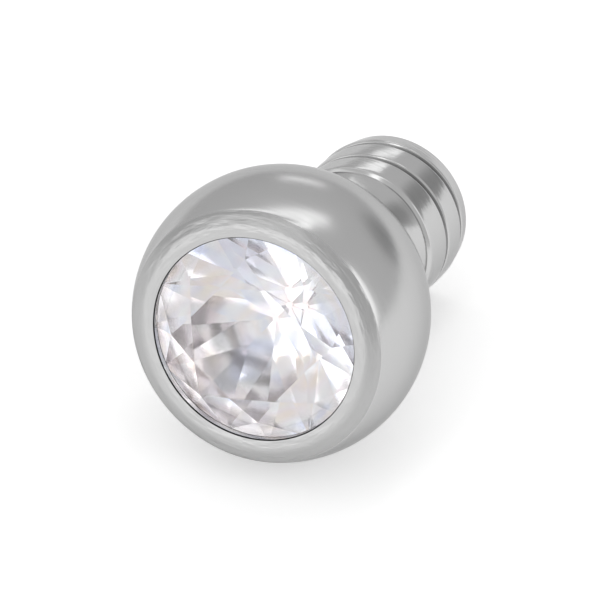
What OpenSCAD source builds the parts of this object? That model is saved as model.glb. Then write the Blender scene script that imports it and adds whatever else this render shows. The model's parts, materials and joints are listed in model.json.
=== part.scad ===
// Threaded gem top for body jewellery: a steel ball with a burnished-in stone
// and a short threaded post. It lies on the ball and the post's end, stone forward.
// Sizes are in millimetres and angles in degrees.

/* [Ball] */
// Diameter of the ball
ball_d = 3; // [2.9:0.05:3.3]

/* [Setting] */
// Diameter of the opening that shows the gem
opening_d = 2.16; // [2.1:0.01:2.2]
// Diameter of the flat ring that is burnished round the gem
ring_d = 2.41; // [2.36:0.01:2.46]
// Diameter of the edge where the burnished face meets the ball
face_d = 2.69; // [2.64:0.01:2.74]
// Height of the flat ring over the face's outer edge
face_rise = 0.066; // [0.05:0.002:0.08]
// Depth of the lip's upright inner wall
lip_wall = 0.09; // [0.05:0.01:0.12]

/* [Gem] */
// Diameter of the gem at its girdle
gem_d = 2.3; // [2.25:0.01:2.36]
// Width of the table as a share of the girdle
table_share = 0.56; // [0.5:0.01:0.65]
// Slope of the crown's main facets
crown_angle = 31; // [26:1:35]
// Slope of the pavilion's main facets
pavilion_angle = 41; // [39:0.5:42]
// Height of the girdle's edge
girdle_h = 0.05; // [0.03:0.01:0.08]
// Clearance between the gem and its seat
gem_gap = 0.02; // [0.015:0.005:0.03]
// Turn of the gem about the axis
gem_turn = 12; // [0:1:45]

/* [Post] */
// Diameter over the thread
thread_d = 1.68; // [1.6:0.01:1.7]
// Distance from one turn of the thread to the next
pitch = 0.38; // [0.36:0.005:0.4]
// Depth of the thread's groove
groove_depth = 0.06; // [0.04:0.005:0.08]
// Width of the groove at its mouth
groove_w = 0.09; // [0.07:0.005:0.12]
// Diameter of the neck between ball and thread
neck_d = 1.56; // [1.5:0.01:1.58]
// Distance of the thread's first edge from the ball's centre
collar_at = 1.93; // [1.88:0.01:1.96]
// Distance of the post's end from the ball's centre
post_end = 2.99; // [2.9:0.01:3.1]
// Length of the slight taper before the end's rounding
taper_length = 0.2; // [0.1:0.01:0.25]
// Loss of radius over the taper
taper_drop = 0.035; // [0.01:0.005:0.05]
// Radius of the rounding at the post's end
end_round = 0.05; // [0.04:0.01:0.08]

/* [Hidden] */
$fn = 96;

ball_r = ball_d / 2;
opening_r = opening_d / 2;
ring_r = ring_d / 2;
face_r = face_d / 2;
gem_r = gem_d / 2;
thread_r = thread_d / 2;
neck_r = neck_d / 2;

// Distances in front of the ball's centre: the face's outer edge lies on the ball
face_out = sqrt(ball_r * ball_r - face_r * face_r);
ring_out = face_out + face_rise;
lip_drop = 0.003;
lip_out = ring_out - lip_drop;
lip_foot = lip_out - lip_wall;

// The gem sits with its crown just under the foot of the lip's wall
girdle_top = lip_foot - gem_gap - (gem_r - opening_r) * tan(crown_angle);
girdle_low = girdle_top - girdle_h;
table_r = gem_r * table_share;
table_out = girdle_top + (gem_r - table_r) * tan(crown_angle);
culet_r = 0.03;
culet_out = girdle_low - (gem_r - culet_r) * tan(pavilion_angle);

// The part lies on the ball and on the rounded edge of the post's end
round_at = post_end - end_round;
round_r = thread_r - taper_drop - end_round;
rest_tilt = asin((ball_r - end_round) / norm([round_at, round_r])) - atan2(round_r, round_at);
front_reach = table_out * cos(rest_tilt) + table_r * sin(rest_tilt);
back_reach = post_end * cos(rest_tilt) + round_r * sin(rest_tilt);

// Turn of the ball's seam: the facets of its mesh, 39 in a ring, then lie evenly on both
// sides of the line that the ball rests on
ball_turn = 2.308;

// Thread grid: columns round the post, and five stations in each pitch
columns = 48;
crest_drop = 0.004;
crest_r = thread_r - crest_drop;
edge_ease = 0.1;
groove_place = [-groove_w / 2, -groove_w / 10, groove_w / 10, groove_w / 2, pitch / 2];
groove_share = [edge_ease, 1, 1, edge_ease, 0];
stations = len(groove_place);
grooves = 5;
collar_end = collar_at + 0.07;
root_start = collar_at + 0.02;
run_in = 0.1;
run_out = 0.12;
// A groove crosses the post's upper side here, seen from the ball's centre
groove_on_top = 2.292;
column_step = 360 / columns;
seam_angle = 90 + column_step / 2;
top_angle = -90;
// The first column's first groove ends before the thread does, and its last one runs past it
lead = groove_on_top + pitch * (seam_angle - top_angle) / 360;
first_groove = lead - pitch * ceil((lead + pitch / 2 - collar_end) / pitch);
grid_low = first_groove - groove_w;
grid_high = first_groove + pitch * (grooves + 0.6);

function smooth(t) = let (u = min(1, max(0, t))) u * u * (3 - 2 * u);

// Share of the groove's full depth at a distance from the ball's centre
function fade(a) = smooth((a - collar_end) / run_in) * smooth((round_at - a) / run_out);

// Radius over the thread at a distance from the ball's centre
function crest(a) = crest_r - taper_drop * max(0, 1 - (round_at - a) / taper_length);

function polar(r, angle, a) = [r * cos(angle), r * sin(angle), a];

// One thread point: stations before the collar are gathered inside it,
// and those past the last turn are spread over the rounded end
function thread_point(column, groove, station) =
    let (angle = seam_angle + column * column_step)
    let (a = first_groove + pitch * (groove + column / columns) + groove_place[station])
    a < collar_end ? polar(crest_r, angle, gathered(a)) :
    a > round_at ? rounded(angle, 90 * (a - round_at) / (grid_high - round_at)) :
    polar(crest(a) - groove_depth * groove_share[station] * fade(a), angle, a);

function gathered(a) = root_start + (collar_end - root_start) * (a - grid_low) / (collar_end - grid_low);

function rounded(angle, turn) =
    polar(crest(round_at) - end_round * (1 - cos(turn)), angle, round_at + end_round * sin(turn));

// One column runs from the start plane, over every station, to the end plane
function thread_column(column) =
    let (angle = seam_angle + column * column_step)
    concat(
        [polar(crest_r, angle, root_start)],
        [for (groove = [0:grooves - 1], station = [0:stations - 1]) thread_point(column, groove, station)],
        [rounded(angle, 90)]
    );

column_size = grooves * stations + 2;
last_column = (columns - 1) * column_size;

// Two triangles between the edge at p in one column and the edge at q in the next
function strip(p, q) = [[p, p + 1, q], [q, p + 1, q + 1]];

// The groove gains one pitch in a turn, so the seam joins each groove to the next one
function thread_faces() = concat(
    [for (column = [0:columns - 2], place = [0:column_size - 2])
        each strip(column * column_size + place, (column + 1) * column_size + place)],
    [for (place = [0:column_size - 2 - stations]) each strip(last_column + place, place + stations)],
    [for (place = [0:stations - 1]) [last_column, place + 1, place]],
    [for (place = [column_size - 1 - stations:column_size - 2])
        [last_column + place, last_column + place + 1, column_size - 1]],
    [[for (column = [0:columns - 1]) column * column_size]],
    [[for (column = [columns - 1:-1:0]) (column + 1) * column_size - 1]]
);

// Right-handed thread with its core
module thread() {
    polyhedron(
        points = [for (column = [0:columns - 1]) each thread_column(column)],
        faces = thread_faces()
    );
}

// Neck that thins slightly towards its middle, and the plain collar where the thread starts
module neck_and_collar() {
    neck_start = 1.15;
    neck_flare = 0.02;
    flank = 0.02;
    neck_end = collar_at - flank;
    middle = (neck_start + neck_end) / 2;
    half = (neck_end - neck_start) / 2;
    steps = 6;
    neck = [for (i = [0:steps])
        let (t = 2 * i / steps - 1)
        [neck_r + neck_flare * t * t, middle + half * t]];
    rotate_extrude()
        polygon(concat(
            [[0, neck_start]],
            neck,
            [[thread_r, collar_at], [thread_r, collar_end], [0, collar_end]]
        ));
}

// All that is turned away in front of the burnished face: a flat ring and a sloping
// band, whose slope runs on past the ball so that the two meet at the face's edge
module front_cut() {
    beyond = 2 * ball_r;
    band_slope = face_rise / (face_r - ring_r);
    rotate_extrude()
        polygon([
            [0, -beyond],
            [beyond, -beyond],
            [beyond, -face_out + band_slope * (beyond - face_r)],
            [ring_r, -ring_out],
            [opening_r, -lip_out],
            [0, -lip_out]
        ]);
}

// The gem's seat: opening, underside of the lip, girdle bore, cone and drilled well
module seat() {
    bore_r = gem_r + gem_gap;
    bore_top = lip_foot - (bore_r - opening_r) * tan(crown_angle);
    bore_low = girdle_low - gem_gap;
    well_r = 0.2;
    well_out = bore_low - (bore_r - well_r) * tan(pavilion_angle);
    rotate_extrude()
        polygon([
            [0, -lip_out - lip_wall],
            [opening_r, -lip_out - lip_wall],
            [opening_r, -lip_foot],
            [bore_r, -bore_top],
            [bore_r, -bore_low],
            [well_r, -well_out],
            [well_r, -culet_out + gem_gap],
            [0, -culet_out + gem_gap]
        ]);
}

// Ball, setting, neck and threaded post, turned in one piece
module threaded_ball() {
    color([0.78, 0.78, 0.77])
    placed()
    difference() {
        union() {
            rotate([0, 0, ball_turn]) sphere(ball_r);
            neck_and_collar();
            thread();
        }
        front_cut();
        seat();
    }
}

// Corners of one ring of the gem, a share of its facets' spacing ahead
function ring(radius, out, count, ahead) =
    [for (i = [0:count - 1]) polar(radius, (i + ahead) * 360 / count, -out)];

// Round brilliant with eight-fold facets
module gem() {
    fold = 8;
    girdle_fold = 2 * fold;
    half_step = 180 / fold;
    star_share = 0.5;
    lower_share = 0.75;
    star_r = table_r * cos(half_step) + star_share * (gem_r - table_r * cos(half_step));
    star_out = table_out - (star_r * cos(half_step) - table_r) * tan(crown_angle);
    lower_r = gem_r * (1 - lower_share) / cos(half_step) + culet_r;
    lower_out = culet_out + (lower_r * cos(half_step) - culet_r) * tan(pavilion_angle);
    table = 0;
    star = fold;
    top = 2 * fold;
    low = top + girdle_fold;
    lower = low + girdle_fold;
    culet = lower + fold;
    faces = concat(
        [[for (i = [0:fold - 1]) table + i]],
        [for (i = [0:fold - 1])
            let (j = (i + 1) % fold)
            let (h = (i + fold - 1) % fold)
            let (g = 2 * i)
            let (next = (g + 1) % girdle_fold)
            let (after = (g + 2) % girdle_fold)
            each [
                [table + j, table + i, star + i],
                [table + i, star + h, top + g, star + i],
                [star + i, top + g, top + next],
                [star + i, top + next, top + after],
                [top + g, low + g, low + next, top + next],
                [top + next, low + next, low + after, top + after],
                [low + g, lower + i, low + next],
                [low + next, lower + i, low + after],
                [low + g, lower + h, culet + i, lower + i],
                [lower + i, culet + i, culet + j]
            ]],
        [[for (i = [fold - 1:-1:0]) culet + i]]
    );
    color([0.88, 0.88, 0.93])
    placed()
    rotate([0, 0, gem_turn])
    polyhedron(
        points = concat(
            ring(table_r, table_out, fold, 0),
            ring(star_r, star_out, fold, 0.5),
            ring(gem_r, girdle_top, girdle_fold, 0),
            ring(gem_r, girdle_low, girdle_fold, 0),
            ring(lower_r, lower_out, fold, 0.5),
            ring(culet_r, culet_out, fold, 0)
        ),
        faces = faces
    );
}

// Lays the part down: the axis runs back along Y and drops towards the post's end
module placed() {
    translate([0, (front_reach - back_reach) / 2, ball_r])
    rotate([-90 - rest_tilt, 0, 0])
    children();
}

threaded_ball();
gem();
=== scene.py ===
import json
import math

import bpy
from mathutils import Matrix, Vector


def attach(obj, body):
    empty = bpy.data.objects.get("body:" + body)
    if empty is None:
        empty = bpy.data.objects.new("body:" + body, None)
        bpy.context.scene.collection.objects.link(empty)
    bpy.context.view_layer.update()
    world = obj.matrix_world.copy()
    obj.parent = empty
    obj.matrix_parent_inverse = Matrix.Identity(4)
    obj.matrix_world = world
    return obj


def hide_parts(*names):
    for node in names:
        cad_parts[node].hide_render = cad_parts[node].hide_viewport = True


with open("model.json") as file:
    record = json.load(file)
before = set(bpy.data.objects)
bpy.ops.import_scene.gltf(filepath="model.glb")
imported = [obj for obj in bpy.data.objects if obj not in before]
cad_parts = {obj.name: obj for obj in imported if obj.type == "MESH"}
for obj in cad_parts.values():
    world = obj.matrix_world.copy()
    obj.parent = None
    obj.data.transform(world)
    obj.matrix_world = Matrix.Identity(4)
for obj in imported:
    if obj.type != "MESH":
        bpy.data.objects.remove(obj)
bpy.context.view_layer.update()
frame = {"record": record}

# Camera: a long lens 167 mm from the ball, on the stone's side, 23 degrees round to the
# right and 38 degrees above the floor. The picture is 6 mm wide where the ball is.
# The mount at the post's collar gives the axis and, 1.95 mm back along it, the ball's centre.
MM = 0.001
scene = bpy.context.scene
post_mount = frame["record"]["mounts"][0]
axis = Vector(post_mount["axis"]).normalized()
MOUNT_FROM_CENTRE = 1.95 * MM
ball_centre = Vector(post_mount["pos_m"]) - MOUNT_FROM_CENTRE * axis

CAMERA_TURN = math.radians(23.29)
CAMERA_RISE = math.radians(38.11)
CAMERA_DISTANCE = 166.9 * MM
BALL_LEFT_OF_MIDDLE = 0.186 * MM
BALL_BELOW_MIDDLE = 0.133 * MM
to_camera = Vector((
    math.sin(CAMERA_TURN) * math.cos(CAMERA_RISE),
    -math.cos(CAMERA_TURN) * math.cos(CAMERA_RISE),
    math.sin(CAMERA_RISE)))
camera_right = Vector((math.cos(CAMERA_TURN), math.sin(CAMERA_TURN), 0))
camera_up = to_camera.cross(camera_right)
camera_data = bpy.data.cameras.new("camera")
camera_data.lens = 1000
camera_data.clip_start = 0.01
camera_data.clip_end = 5
camera = bpy.data.objects.new("camera", camera_data)
scene.collection.objects.link(camera)
target = ball_centre + BALL_LEFT_OF_MIDDLE * camera_right + BALL_BELOW_MIDDLE * camera_up
camera.matrix_world = (
    Matrix.Translation(target + CAMERA_DISTANCE * to_camera)
    @ Matrix((camera_right, camera_up, to_camera)).transposed().to_4x4())
scene.camera = camera

# Threaded ball: ball, setting, neck and threaded post turned in one piece from surgical
# steel. The face round the stone is burnished over it, and the post is cut with a fine
# right-hand thread. It is drawn as a profile, spun about its axis, and then threaded.

# Sizes are in millimetres. A radius is measured from the axis, and a place along it from
# the ball's centre, with the stone below zero and the post above. First the ball and its
# face: a slanting band, a nearly flat ring and the lip over the stone.
BALL_R = 1.5
FACE_R = 1.345
FACE_ROUND = 0.05
RING_R = 1.205
RING_RISE = 0.066
RING_ROUND = 0.04
LIP_R = 1.08
LIP_DROP = 0.003
LIP_WALL = 0.09
LIP_CORNER = 0.012
LIP_ROUND = 0.016

# The stone, which the seat follows a gap away, with a well under its point
GEM_R = 1.15
GEM_GAP = 0.02
GIRDLE_H = 0.05
CROWN_SLOPE = math.tan(math.radians(31))
PAVILION_SLOPE = math.tan(math.radians(41))
CULET_R = 0.03
WELL_R = 0.2

# The waisted neck, the plain collar and the threaded post with its tapered lead
NECK_R = 0.78
NECK_END_R = 0.80
NECK_END_AT = 1.91
NECK_ROUND = 0.02
COLLAR_AT = 1.93
COLLAR_ROUND = 0.008
POST_R = 0.836
THREAD_START = 2.0
POST_END = 2.99
END_ROUND = 0.05
TAPER_LENGTH = 0.2
TAPER_DROP = 0.035

face_at = -math.sqrt(BALL_R ** 2 - FACE_R ** 2)
ring_at = face_at - RING_RISE
lip_at = ring_at + LIP_DROP
lip_foot_at = lip_at + LIP_WALL
girdle_top_at = lip_foot_at + GEM_GAP + (GEM_R - LIP_R) * CROWN_SLOPE
girdle_low_at = girdle_top_at + GIRDLE_H
culet_at = girdle_low_at + (GEM_R - CULET_R) * PAVILION_SLOPE
bore_r = GEM_R + GEM_GAP
bore_top_at = lip_foot_at + (bore_r - LIP_R) * CROWN_SLOPE
bore_low_at = girdle_low_at + GEM_GAP
well_top_at = bore_low_at + (bore_r - WELL_R) * PAVILION_SLOPE
well_floor_at = culet_at + GEM_GAP
round_at = POST_END - END_ROUND

# Closer than this, two places are the same
TOUCH = 1e-4


def start_profile(name, r, at):
    """A new mesh of one vertex, at a radius and a place along the axis, left in edit mode."""
    bpy.ops.object.select_all(action="DESELECT")
    bpy.ops.mesh.primitive_plane_add(size=1, location=(0, 0, 0))
    piece = bpy.context.object
    piece.name = name
    bpy.ops.object.mode_set(mode="EDIT")
    bpy.ops.mesh.select_mode(type="VERT")
    bpy.ops.mesh.merge(type="CENTER")
    bpy.ops.transform.translate(value=(r, 0, at))
    return piece


def draw_line(start, end):
    """Extrudes the profile's last vertex from one place to the next."""
    move = (end[0] - start[0], 0, end[1] - start[1])
    bpy.ops.mesh.extrude_region_move(TRANSFORM_OT_translate={"value": move})


def draw_lines(places):
    """Extrudes the profile through all these places."""
    for start, end in zip(places, places[1:]):
        draw_line(start, end)


def select_places(piece, places):
    """Selects the profile's vertices that stand at these places."""
    bpy.ops.object.mode_set(mode="OBJECT")
    mesh = piece.data
    for part in (mesh.polygons, mesh.edges, mesh.vertices):
        for item in part:
            item.select = False
    for vertex in mesh.vertices:
        for r, at in places:
            if math.hypot(vertex.co.x - r, vertex.co.z - at) < TOUCH:
                vertex.select = True
    bpy.ops.object.mode_set(mode="EDIT")
    bpy.ops.mesh.select_mode(type="VERT")


def round_corner(piece, place, size, segments):
    """Rounds one corner of the profile."""
    select_places(piece, [place])
    bpy.ops.mesh.bevel(affect="VERTICES", offset=size, segments=segments, profile=0.5)


SEAM_HAIR = 1e-5


def spin_profile(steps):
    """Spins the profile round the axis, a hair short of a full turn: its seam stays open."""
    bpy.ops.mesh.select_all(action="SELECT")
    bpy.ops.mesh.spin(
        steps=steps, angle=-(math.tau - SEAM_HAIR), center=(0, 0, 0), axis=(0, 0, 1),
        use_auto_merge=False)
    bpy.ops.object.mode_set(mode="OBJECT")


def close_seam():
    """Joins what coincides along the seam and at the poles."""
    bpy.ops.object.mode_set(mode="EDIT")
    bpy.ops.mesh.select_all(action="SELECT")
    bpy.ops.mesh.remove_doubles(threshold=TOUCH)
    bpy.ops.mesh.normals_make_consistent(inside=False)
    bpy.ops.object.mode_set(mode="OBJECT")


def lay_down(piece):
    """Turns a piece made upright in millimetres to where the part lies, in metres."""
    side = Vector((1, 0, 0))
    below = axis.cross(side)
    turn = Matrix((side, below, axis)).transposed().to_4x4()
    piece.matrix_world = Matrix.Translation(ball_centre) @ turn @ Matrix.Scale(MM, 4)
    bpy.ops.object.select_all(action="DESELECT")
    piece.select_set(True)
    bpy.context.view_layer.objects.active = piece
    bpy.ops.object.transform_apply(location=True, rotation=True, scale=True)


# Profile of the seat and of the burnished face, from the well's floor to the ball
front = [
    (0, well_floor_at),
    (WELL_R, well_floor_at),
    (WELL_R, well_top_at),
    (bore_r, bore_low_at),
    (bore_r, bore_top_at),
    (LIP_R, lip_foot_at),
    (LIP_R, lip_foot_at - LIP_CORNER),
    (LIP_R, lip_at),
    (RING_R, ring_at),
    (FACE_R, face_at),
]
ball = start_profile("steel_ball_and_post", *front[0])
draw_lines(front)

# The ball's round side, as an arc up to the neck
BALL_STEPS = 64
arc_start = math.atan2(face_at, FACE_R)
arc_end = math.acos(NECK_END_R / BALL_R)
bpy.ops.mesh.spin(
    steps=BALL_STEPS, angle=arc_end - arc_start, center=(0, 0, 0), axis=(0, 1, 0))
ball_end = (NECK_END_R, BALL_R * math.sin(arc_end))

# Neck, a little thinner at its middle, then the collar and the post
NECK_STEPS = 8
neck_middle = (ball_end[1] + NECK_END_AT) / 2
neck_half = (NECK_END_AT - ball_end[1]) / 2
neck = []
for step in range(NECK_STEPS + 1):
    share = 2 * step / NECK_STEPS - 1
    neck.append((NECK_R + (NECK_END_R - NECK_R) * share ** 2, neck_middle + neck_half * share))
post_line = [(POST_R, COLLAR_AT), (POST_R, THREAD_START), (POST_R, round_at)]
draw_lines(neck + post_line)
thread_line = post_line[-2:]
END_STEPS = 6
bpy.ops.mesh.spin(
    steps=END_STEPS, angle=math.pi / 2, center=(POST_R - END_ROUND, 0, round_at),
    axis=(0, 1, 0))
draw_line((POST_R - END_ROUND, POST_END), (0, POST_END))

# Small roundings: the lip, the soft edge between ring and band, the face's outer edge,
# the foot of the neck and the edge of the collar
round_corner(ball, (LIP_R, lip_at), LIP_ROUND, segments=4)
round_corner(ball, (RING_R, ring_at), RING_ROUND, segments=6)
round_corner(ball, (FACE_R, face_at), FACE_ROUND, segments=6)
round_corner(ball, ball_end, NECK_ROUND, segments=4)
round_corner(ball, (POST_R, COLLAR_AT), COLLAR_ROUND, segments=3)

# The thread's stretch gets many short rows. They climb one pitch in a turn, as the groove
# does, so each row meets at the seam the one that lies a pitch further on. The rows are cut
# in two steps, because one step cuts a hundred at most.
PITCH = 0.38
ROWS_PER_PITCH = 56
COLUMNS = 208
row_step = PITCH / ROWS_PER_PITCH
half_rows = math.ceil((round_at - THREAD_START + PITCH) / (2 * row_step))
rows = 2 * half_rows
select_places(ball, thread_line)
bpy.ops.mesh.subdivide(number_cuts=half_rows - 1)
bpy.ops.mesh.subdivide(number_cuts=1)
spin_profile(COLUMNS)
for vertex in ball.data.vertices:
    on_thread = THREAD_START - TOUCH < vertex.co.z < round_at + TOUCH
    if on_thread and vertex.co.xy.length > POST_R - TOUCH:
        share = (vertex.co.z - THREAD_START) / (round_at - THREAD_START)
        turned = (math.atan2(vertex.co.y, vertex.co.x) % math.tau) / math.tau
        climbed = THREAD_START + share * rows * row_step + (turned - 1) * PITCH
        vertex.co.z = min(round_at, max(THREAD_START, climbed))
close_seam()

# The groove is sunk into the post, a pitch further on with each turn. It deepens over its
# run-in, fades over its run-out and keeps clear of the collar's ledge. Its crests are
# eased a little, and the post's last stretch tapers.
GROOVE_ON_TOP = 2.292
GROOVE_DEPTH = 0.06
GROOVE_W = 0.09
GROOVE_FLOOR = 0.014
RUN_IN = 0.14
RUN_OUT = 0.12
LEDGE_W = 0.04
CREST_EASE = 0.004


def smooth(t):
    """Eases a share between 0 and 1 in and out."""
    t = min(1, max(0, t))
    return t * t * (3 - 2 * t)


def groove_at(at, angle):
    """The groove's share of its depth at a place on the post, and its crests' easing."""
    # Where the groove passes on this side of the post, how far its nearest turn lies from
    # here, and where that turn is
    lead = GROOVE_ON_TOP + PITCH * (angle + math.pi / 2) / math.tau
    off = (at - lead + PITCH / 2) % PITCH - PITCH / 2
    away = abs(off)
    middle = at - off
    fade = smooth((middle - THREAD_START) / RUN_IN) * smooth((round_at - middle) / RUN_OUT)
    fade *= smooth((at - THREAD_START) / LEDGE_W)
    groove = smooth(1 - (away - GROOVE_FLOOR / 2) / ((GROOVE_W - GROOVE_FLOOR) / 2))
    ease = max(0, 1 - away / (PITCH / 2)) ** 2
    return fade * groove, fade * ease


for vertex in ball.data.vertices:
    r = math.hypot(vertex.co.x, vertex.co.y)
    if vertex.co.z > THREAD_START and r > TOUCH:
        at = min(vertex.co.z, round_at)
        groove, ease = groove_at(at, math.atan2(vertex.co.y, vertex.co.x))
        taper = max(0, 1 - (round_at - at) / TAPER_LENGTH)
        cut = GROOVE_DEPTH * groove + CREST_EASE * ease + TAPER_DROP * taper
        share = max(0, r - cut * min(1, r / (POST_R - END_ROUND))) / r
        vertex.co.x *= share
        vertex.co.y *= share

# The lathe's finishes. Turning marks run in arcs round the axis. Real ones lie about
# 0.01 mm apart, too fine to show here, so they are drawn two to three times as coarse.
# The soft waves are 0.06 mm wide, and the cloudy patches 0.4 mm. All are given as so many
# to a millimetre, and the depths of marks and waves in thousandths of a millimetre.
MICRON = 0.001 * MM
WAVES = 16
CLOUDS = 2.6

# A radian round the axis counts as this long, which draws each mark out to a long arc.
# For the waves it counts for six times as much, which keeps their arcs short.
ARC_LENGTH = 0.05 * MM
WAVE_SHORTNESS = 6
ROUGHNESS_SPREAD = 0.04

# Steel mirrors a little less at a glancing angle than the shader's metal does
GLANCING_TINT = "D0D0D0"

# The face's colour changes from the flat ring's to the slanting band's painted shade between these
BAND_FROM = RING_R * 0.97
BAND_FULL = RING_R * 1.04


def hex_colour(code):
    """A colour as on the screen, written in hex, turned to the linear values of a node."""
    values = [int(code[place:place + 2], 16) / 255 for place in (0, 2, 4)]
    linear = [v / 12.92 if v <= 0.04045 else ((v + 0.055) / 1.055) ** 2.4 for v in values]
    return (*linear, 1)


def new_material(name):
    """A material, its node tree and its main shader."""
    material = bpy.data.materials.new(name)
    material.use_nodes = True
    return material, material.node_tree, material.node_tree.nodes["Principled BSDF"]


def add_node(tree, kind, settings=None, values=None, links=None):
    """A node with its settings, the values of its inputs and the links into them."""
    node = tree.nodes.new(kind)
    for key, value in (settings or {}).items():
        setattr(node, key, value)
    for key, value in (values or {}).items():
        node.inputs[key].default_value = value
    for key, source in (links or {}).items():
        tree.links.new(source, node.inputs[key])
    return node


def steel(name, colour, roughness, marks, mark_depth, anisotropy, wave_depth, shaded_band_colour=None):
    """Turned steel: fine marks in arcs round the axis, soft waves and faint cloudiness."""
    material, tree, shader = new_material(name)

    # Where a point lies: along the axis, out from it and round it
    place = add_node(tree, "ShaderNodeTexCoord")
    from_centre = add_node(
        tree, "ShaderNodeVectorMath", {"operation": "SUBTRACT"},
        {1: ball_centre}, {0: place.outputs["Object"]})
    along = add_node(
        tree, "ShaderNodeVectorMath", {"operation": "DOT_PRODUCT"},
        {1: axis}, {0: from_centre.outputs[0]})
    on_axis = add_node(
        tree, "ShaderNodeVectorMath", {"operation": "SCALE"},
        {0: axis}, {"Scale": along.outputs["Value"]})
    off_axis = add_node(
        tree, "ShaderNodeVectorMath", {"operation": "SUBTRACT"},
        None, {0: from_centre.outputs[0], 1: on_axis.outputs[0]})
    radius = add_node(
        tree, "ShaderNodeVectorMath", {"operation": "LENGTH"},
        None, {0: off_axis.outputs[0]})
    sideways = add_node(tree, "ShaderNodeSeparateXYZ", None, None, {0: off_axis.outputs[0]})
    angle = add_node(
        tree, "ShaderNodeMath", {"operation": "ARCTAN2"},
        None, {0: sideways.outputs["X"], 1: sideways.outputs["Z"]})
    arc = add_node(
        tree, "ShaderNodeMath", {"operation": "MULTIPLY"}, {1: ARC_LENGTH}, {0: angle.outputs[0]})
    ring_place = add_node(
        tree, "ShaderNodeCombineXYZ", None, None,
        {"X": along.outputs["Value"], "Y": radius.outputs["Value"], "Z": arc.outputs[0]})

    # The patterns, and the roughness and the height, in metres, that they give
    rings = add_node(
        tree, "ShaderNodeTexNoise", None,
        {"Scale": marks / MM, "Detail": 1, "Roughness": 0.6}, {"Vector": ring_place.outputs[0]})
    wave_place = add_node(
        tree, "ShaderNodeVectorMath", {"operation": "MULTIPLY"},
        {1: (1, 1, WAVE_SHORTNESS)}, {0: ring_place.outputs[0]})
    waves = add_node(
        tree, "ShaderNodeTexNoise", None,
        {"Scale": WAVES / MM, "Detail": 2, "Roughness": 0.5}, {"Vector": wave_place.outputs[0]})
    cloud = add_node(
        tree, "ShaderNodeTexNoise", None,
        {"Scale": CLOUDS / MM, "Detail": 4, "Roughness": 0.6}, {"Vector": from_centre.outputs[0]})
    grain = add_node(
        tree, "ShaderNodeMath", {"operation": "ADD"},
        None, {0: rings.outputs["Fac"], 1: cloud.outputs["Fac"]})
    shade = add_node(
        tree, "ShaderNodeMapRange", None,
        {"From Min": 0.6, "From Max": 1.4,
         "To Min": roughness - ROUGHNESS_SPREAD, "To Max": roughness + ROUGHNESS_SPREAD},
        {"Value": grain.outputs[0]})
    wave_height = add_node(
        tree, "ShaderNodeMath", {"operation": "MULTIPLY"},
        {1: wave_depth * MICRON}, {0: waves.outputs["Fac"]})
    height = add_node(
        tree, "ShaderNodeMath", {"operation": "MULTIPLY_ADD"},
        {1: mark_depth * MICRON}, {0: rings.outputs["Fac"], 2: wave_height.outputs[0]})
    bump = add_node(
        tree, "ShaderNodeBump", None, {"Strength": 1, "Distance": 1}, {"Height": height.outputs[0]})
    tangent = add_node(
        tree, "ShaderNodeVectorMath", {"operation": "CROSS_PRODUCT"},
        {0: axis}, {1: off_axis.outputs[0]})

    shader.inputs["Base Color"].default_value = hex_colour(colour)
    # Painted shade: the slanting band outside the flat ring is coloured darker
    if shaded_band_colour:
        # Inputs 6 and 7 of the Mix node are its two colours, and output 2 is its result
        outwards = add_node(
            tree, "ShaderNodeMapRange", {"interpolation_type": "SMOOTHSTEP"},
            {"From Min": BAND_FROM * MM, "From Max": BAND_FULL * MM},
            {"Value": radius.outputs["Value"]})
        blend = add_node(
            tree, "ShaderNodeMix", {"data_type": "RGBA"},
            {6: hex_colour(colour), 7: hex_colour(shaded_band_colour)}, {0: outwards.outputs[0]})
        tree.links.new(blend.outputs[2], shader.inputs["Base Color"])
    shader.inputs["Metallic"].default_value = 1
    shader.inputs["Specular Tint"].default_value = hex_colour(GLANCING_TINT)
    shader.inputs["Anisotropic"].default_value = anisotropy
    tree.links.new(shade.outputs[0], shader.inputs["Roughness"])
    tree.links.new(bump.outputs[0], shader.inputs["Normal"])
    tree.links.new(tangent.outputs[0], shader.inputs["Tangent"])
    return material


# Satin surgical steel on the ball, turned and tumbled: it mirrors the room softly
ball.data.materials.append(steel(
    "steel_satin_ball", "BEBEBE", roughness=0.23, marks=30, mark_depth=0.06,
    anisotropy=0.1, wave_depth=0.4))
# Burnished steel round the stone, rolled down by hand: short waves in arcs, a light flat
# ring at the stone and a slanting band outside it, coloured darker as painted shade
ball.data.materials.append(steel(
    "steel_burnished_face", "BDBDBD", roughness=0.32, marks=60, mark_depth=0.3,
    anisotropy=0.5, wave_depth=14, shaded_band_colour="B0B0B0"))
# Polished steel on neck and post: crisper lights and darks, with faint turning marks
ball.data.materials.append(steel(
    "steel_polished_post", "C4C4C4", roughness=0.17, marks=40, mark_depth=0.4,
    anisotropy=0.2, wave_depth=1))
# Painted shade in the thread's groove: steel coloured darker, with a duller finish
ball.data.materials.append(steel(
    "groove_painted_shade", "8C8C8C", roughness=0.32, marks=40, mark_depth=0.2,
    anisotropy=0.2, wave_depth=1))
# Painted shade in the lip's corners: a thin dark line round the stone, where lip and stone meet
ball.data.materials.append(steel(
    "lip_corner_painted_shade", "2A2A2B", roughness=0.5, marks=40, mark_depth=0.1,
    anisotropy=0, wave_depth=0))
# Bright-cut steel in the seat: nearly a mirror, it throws light back into the stone
ball.data.materials.append(steel(
    "steel_bright_cut_seat", "E0E0E0", roughness=0.12, marks=40, mark_depth=0.1,
    anisotropy=0, wave_depth=0))
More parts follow.
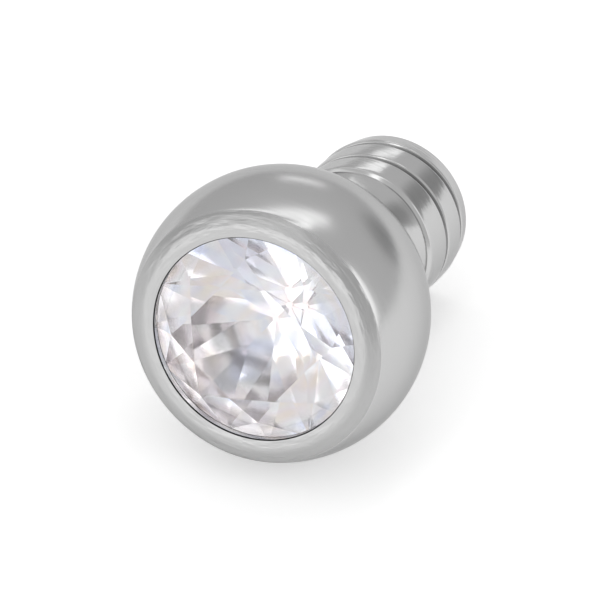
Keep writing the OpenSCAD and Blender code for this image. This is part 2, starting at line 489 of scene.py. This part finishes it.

# Each face of the mesh gets the finish of its place. The groove's painted shade starts at a
# share of its depth, and the lip's painted shade reaches out over a share of its rounding.
BALL_SLOT, FACE_SLOT, POST_SLOT, GROOVE_SHADE_SLOT, LIP_SHADE_SLOT, SEAT_SLOT = range(6)
GROOVE_SHADE_FROM = 0.15
LIP_SHADE_REACH = 0.45
for face in ball.data.polygons:
    middle = face.center
    r = math.hypot(middle.x, middle.y)
    if middle.z > ball_end[1] and r < BALL_R:
        on_thread = THREAD_START < middle.z < round_at
        groove = groove_at(middle.z, math.atan2(middle.y, middle.x))[0]
        # Painted shade: the groove's walls and floor get the darker groove colour
        face.material_index = GROOVE_SHADE_SLOT if on_thread and groove > GROOVE_SHADE_FROM else POST_SLOT
    # Painted shade: a thin dark line in the lip's corner against the stone
    elif r < LIP_R + LIP_ROUND * LIP_SHADE_REACH and lip_at < middle.z < lip_foot_at:
        on_wall = lip_at + LIP_ROUND < middle.z < lip_foot_at - LIP_CORNER
        face.material_index = SEAT_SLOT if on_wall else LIP_SHADE_SLOT
    elif r < bore_r + TOUCH and lip_foot_at < middle.z < well_floor_at + TOUCH:
        face.material_index = SEAT_SLOT
    elif r < FACE_R and middle.z < ring_at / 2:
        face.material_index = FACE_SLOT
    else:
        face.material_index = BALL_SLOT

SHARP_ANGLE = math.radians(28)
bpy.ops.object.select_all(action="DESELECT")
ball.select_set(True)
bpy.context.view_layer.objects.active = ball
bpy.ops.object.shade_smooth_by_angle(angle=SHARP_ANGLE)
lay_down(ball)
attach(ball, "root")
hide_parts("threaded_ball")

# Gem: a round brilliant of clear crystal glass with eight-fold facets and a silvered
# back, held under the burnished lip. It is cut facet by facet from a round blank, as a
# stone is. The shares are those of the stone's radius and of its facets' length.
TABLE_SHARE = 0.56
STAR_SHARE = 0.5
LOWER_SHARE = 0.75
GEM_TURN = math.radians(12)
FOLD = 8
EIGHTH = math.tau / FOLD
BLANK_SIDES = 128
FLAT_ANGLE = math.radians(0.5)
table_r = GEM_R * TABLE_SHARE
table_at = girdle_top_at - (GEM_R - table_r) * CROWN_SLOPE
star_r = table_r * math.cos(EIGHTH / 2) * (1 - STAR_SHARE) + GEM_R * STAR_SHARE
star_at = table_at + (star_r * math.cos(EIGHTH / 2) - table_r) * CROWN_SLOPE
lower_r = GEM_R * (1 - LOWER_SHARE) / math.cos(EIGHTH / 2) + CULET_R
lower_at = culet_at - (lower_r * math.cos(EIGHTH / 2) - CULET_R) * PAVILION_SLOPE


def on_gem(r, eighths, at):
    """A corner of the gem, so many eighths of a turn round it."""
    angle = GEM_TURN + eighths * EIGHTH
    return Vector((r * math.cos(angle), r * math.sin(angle), at))


def cut_facet(first, second, third):
    """Cuts away all that lies outside the plane through three corners."""
    normal = (second - first).cross(third - first).normalized()
    middle = Vector((0, 0, (girdle_top_at + girdle_low_at) / 2))
    if normal.dot(first - middle) < 0:
        normal = -normal
    bpy.ops.mesh.select_all(action="SELECT")
    bpy.ops.mesh.bisect(plane_co=first, plane_no=normal, use_fill=True, clear_outer=True)


bpy.ops.object.select_all(action="DESELECT")
bpy.ops.mesh.primitive_cylinder_add(
    vertices=BLANK_SIDES, radius=GEM_R, depth=culet_at - table_at,
    location=(0, 0, (culet_at + table_at) / 2))
gem = bpy.context.object
gem.name = "crystal_gem"
bpy.ops.object.transform_apply(location=True, rotation=True, scale=True)
bpy.ops.object.mode_set(mode="EDIT")
for i in range(FOLD):
    table = on_gem(table_r, i, table_at)
    next_table = on_gem(table_r, i + 1, table_at)
    star = on_gem(star_r, i + 0.5, star_at)
    top = [on_gem(GEM_R, i + share, girdle_top_at) for share in (0, 0.5, 1)]
    low = [on_gem(GEM_R, i + share, girdle_low_at) for share in (0, 0.5, 1)]
    lower = on_gem(lower_r, i + 0.5, lower_at)
    last_lower = on_gem(lower_r, i - 0.5, lower_at)
    last_star = on_gem(star_r, i - 0.5, star_at)
    # In front: a kite, two upper halves and a star facet beside the table
    cut_facet(star, last_star, top[0])
    cut_facet(star, top[0], top[1])
    cut_facet(star, top[1], top[2])
    cut_facet(table, next_table, star)
    # At the back: a long main facet and two lower halves
    cut_facet(low[0], lower, last_lower)
    cut_facet(low[0], low[1], lower)
    cut_facet(low[1], low[2], lower)
bpy.ops.mesh.select_all(action="SELECT")
bpy.ops.mesh.remove_doubles(threshold=TOUCH)
bpy.ops.mesh.dissolve_limited(angle_limit=FLAT_ANGLE)
bpy.ops.mesh.normals_make_consistent(inside=False)
bpy.ops.object.mode_set(mode="OBJECT")

# Clear crystal glass, machine-polished: it bends light strongly and stays sharp. Faint
# traces of the polishing, 0.17 mm wide, blur its sparks a little.
POLISH_MARKS = 6
crystal, tree, shader = new_material("crystal_glass_clear")
shader.inputs["Base Color"].default_value = hex_colour("FEFEFF")
shader.inputs["IOR"].default_value = 1.65
shader.inputs["Transmission Weight"].default_value = 1
place = add_node(tree, "ShaderNodeTexCoord")
polish = add_node(
    tree, "ShaderNodeTexNoise", None, {"Scale": POLISH_MARKS / MM, "Detail": 2},
    {"Vector": place.outputs["Object"]})
dull = add_node(
    tree, "ShaderNodeMapRange", None, {"To Min": 0.01, "To Max": 0.04},
    {"Value": polish.outputs["Fac"]})
tree.links.new(dull.outputs[0], shader.inputs["Roughness"])

# Silver foil on the glass, from the girdle back: it turns the light round. Pale tints in
# patches of about half a millimetre stand in for the glass's play of colours.
FIRE_PATCHES = 2.2
FIRE = [(0.3, "F1F4FF"), (0.38, "FBFCFE"), (0.46, "FFFFFF"), (0.54, "FEFAFC"), (0.7, "FFF8ED")]
silvered, tree, shader = new_material("silver_foil_on_glass")
shader.inputs["Metallic"].default_value = 1
shader.inputs["Roughness"].default_value = 0.1
place = add_node(tree, "ShaderNodeTexCoord")
tint = add_node(
    tree, "ShaderNodeTexNoise", None, {"Scale": FIRE_PATCHES / MM, "Detail": 1},
    {"Vector": place.outputs["Object"]})
colours = add_node(tree, "ShaderNodeValToRGB", None, None, {"Fac": tint.outputs["Fac"]})
ramp = colours.color_ramp.elements
for end_stop, (position, code) in ((ramp[0], FIRE[0]), (ramp[1], FIRE[-1])):
    end_stop.position = position
    end_stop.color = hex_colour(code)
for position, code in FIRE[1:-1]:
    ramp.new(position).color = hex_colour(code)
tree.links.new(colours.outputs["Color"], shader.inputs["Base Color"])

# The back facets and the girdle are foiled, and the front facets are clear
gem.data.materials.append(crystal)
gem.data.materials.append(silvered)
CRYSTAL_SLOT, FOIL_SLOT = range(2)
FOILED_FROM = -0.1
for face in gem.data.polygons:
    face.material_index = FOIL_SLOT if face.normal.z > FOILED_FROM else CRYSTAL_SLOT
lay_down(gem)
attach(gem, "root")
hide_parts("gem")

# Floor: a white acrylic sheet under the part, as on a photographer's table. It is lit a
# little from below, so it looks nearly white and shows only a faint shadow.
FLOOR_SIZE = 1200 * MM
FLOOR_GLOW = 0.3
bpy.ops.object.select_all(action="DESELECT")
bpy.ops.mesh.primitive_plane_add(size=FLOOR_SIZE, location=(0, 0, 0))
floor = bpy.context.object
floor.name = "floor"
sheet, tree, shader = new_material("acrylic_white_sheet")
shader.inputs["Base Color"].default_value = hex_colour("F2F2F2")
shader.inputs["Roughness"].default_value = 0.7
shader.inputs["Specular IOR Level"].default_value = 0
shader.inputs["Emission Color"].default_value = (1, 1, 1, 1)
shader.inputs["Emission Strength"].default_value = FLOOR_GLOW
floor.data.materials.append(sheet)

# Studio light: a light grey room, with soft white panels in front, above, to the right and
# behind, each as wide and high as it looks from the ball. The room's far corner behind,
# to the right, is darker.
ROOM_LIGHT = 0.72
CORNER_LIGHT = 0.36
CORNER_WAY = (0.4, 0.905, 0.13)
CORNER_EDGE = 0.955
world = bpy.data.worlds.new("studio")
world.use_nodes = True
background = world.node_tree.nodes["Background"]
place = add_node(world.node_tree, "ShaderNodeTexCoord")
towards_corner = add_node(
    world.node_tree, "ShaderNodeVectorMath", {"operation": "DOT_PRODUCT"},
    {1: Vector(CORNER_WAY).normalized()}, {0: place.outputs["Generated"]})
wall = add_node(
    world.node_tree, "ShaderNodeMapRange", {"interpolation_type": "SMOOTHSTEP"},
    {"From Min": CORNER_EDGE, "From Max": 1, "To Min": ROOM_LIGHT, "To Max": CORNER_LIGHT},
    {"Value": towards_corner.outputs["Value"]})
background.inputs["Color"].default_value = (1, 1, 1, 1)
world.node_tree.links.new(wall.outputs[0], background.inputs["Strength"])
scene.world = world

SOFTBOX_DISTANCE = 400 * MM


def softbox(name, turn, rise, wide, high, strength):
    """A panel that faces the ball, turned round it from the front towards the right.

    Its width and height are the angles that it fills, and its strength is its brightness.
    """
    turn, rise, wide, high = (math.radians(angle) for angle in (turn, rise, wide, high))
    way = Vector((math.sin(turn) * math.cos(rise), -math.cos(turn) * math.cos(rise), math.sin(rise)))
    data = bpy.data.lights.new(name, "AREA")
    data.shape = "RECTANGLE"
    data.size = 2 * SOFTBOX_DISTANCE * math.tan(wide / 2)
    data.size_y = 2 * SOFTBOX_DISTANCE * math.tan(high / 2)
    data.energy = strength * data.size * data.size_y * math.pi
    panel = bpy.data.objects.new(name, data)
    scene.collection.objects.link(panel)
    panel.location = ball_centre + SOFTBOX_DISTANCE * way
    panel.rotation_euler = way.to_track_quat("Z", "Y").to_euler()
    panel.visible_camera = False


# Turn, rise, width and height in degrees, and then the brightness
softbox("softbox_strip_overhead", -12, 75, 8, 92, 1.5)
softbox("softbox_front_low", -20, 8, 50, 24, 0.95)
softbox("softbox_front_left", -35, 30, 36, 24, 0.45)
softbox("softbox_above_behind", -150, 60, 62, 12, 1.1)
softbox("softbox_right", 85, 25, 40, 40, 0.95)
softbox("softbox_low_behind", -164, 13.5, 15, 6, 1.2)

scene.view_settings.view_transform = "Standard"
scene.cycles.max_bounces = 24
scene.cycles.transmission_bounces = 24
scene.cycles.glossy_bounces = 12
